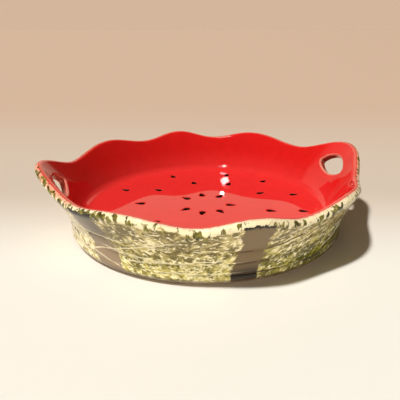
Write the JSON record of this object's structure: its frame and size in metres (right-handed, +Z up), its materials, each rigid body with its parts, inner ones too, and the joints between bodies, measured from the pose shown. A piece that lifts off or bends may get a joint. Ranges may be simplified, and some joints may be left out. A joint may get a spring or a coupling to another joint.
{
  "type": "berry colander bowl",
  "caption": "Shallow glazed clay colander bowl with a waved rim, a half-moon hand hole in each raised lobe and seed-shaped drain holes through its flat floor, for rinsing berries.",
  "frame": {"origin": "on the table, under the middle of the foot ring", "axes": "+Z up out of the bowl, X through the two hand holes, Y across them"},
  "size_m": [0.2612, 0.2464, 0.0586],
  "materials": {
    "bare_clay": "fired stoneware, matt",
    "red_glaze": "glossy red glaze, breaking to pale salmon at the lip",
    "pale_glaze": "glossy cream glaze with short green dabs",
    "rind_glaze": "glossy sponged green over cream, with dark upright stripes"
  },
  "bodies": {
    "root": {"foot_ring": "bare_clay", "base_dish": "bare_clay", "wall": "bare_clay", "dish_lining": "red_glaze", "wall_lining": "red_glaze", "rim_band": "pale_glaze", "dish_rind": "rind_glaze", "wall_rind": "rind_glaze"}
  },
  "joints": []
}
